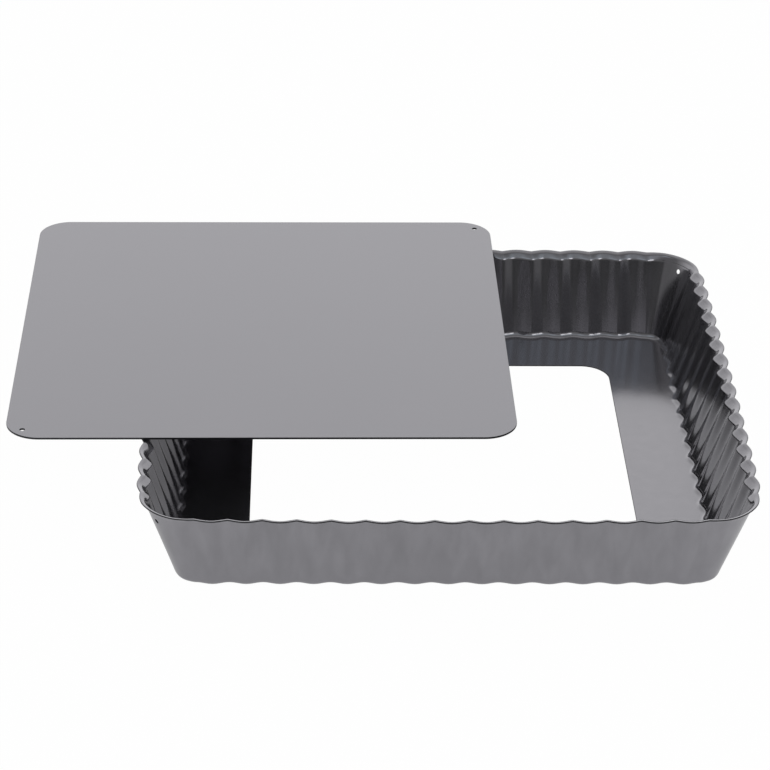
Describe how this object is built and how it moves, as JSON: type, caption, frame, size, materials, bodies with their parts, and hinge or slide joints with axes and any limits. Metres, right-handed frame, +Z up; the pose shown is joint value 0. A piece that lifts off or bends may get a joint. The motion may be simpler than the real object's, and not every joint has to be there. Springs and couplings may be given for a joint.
{
  "type": "tart pan",
  "caption": "Square fluted tart pan: a tapered pressed ring with rippled walls, a flared lip and a flat inner flange, and a loose flat base plate that lies across its rim and lifts off.",
  "frame": {"origin": "middle of the footprint of the ring and the plate across it, on the surface that the ring stands on", "axes": "+Z up, +X to the right along the front of the pan, +Y to the rear"},
  "size_m": [0.2826, 0.2556, 0.0361],
  "materials": {
    "ring_coating": "satin grey non-stick coating on steel sheet",
    "plate_coating": "satin grey non-stick coating on steel sheet"
  },
  "bodies": {
    "ring": {"fluted_ring": "ring_coating"},
    "plate": {"base_plate": "plate_coating"}
  },
  "joints": [
    {"name": "plate_lift", "type": "slide", "parent": "ring", "child": "plate", "axis": [0, 0, 1], "range_m": [0, 0.12]}
  ]
}
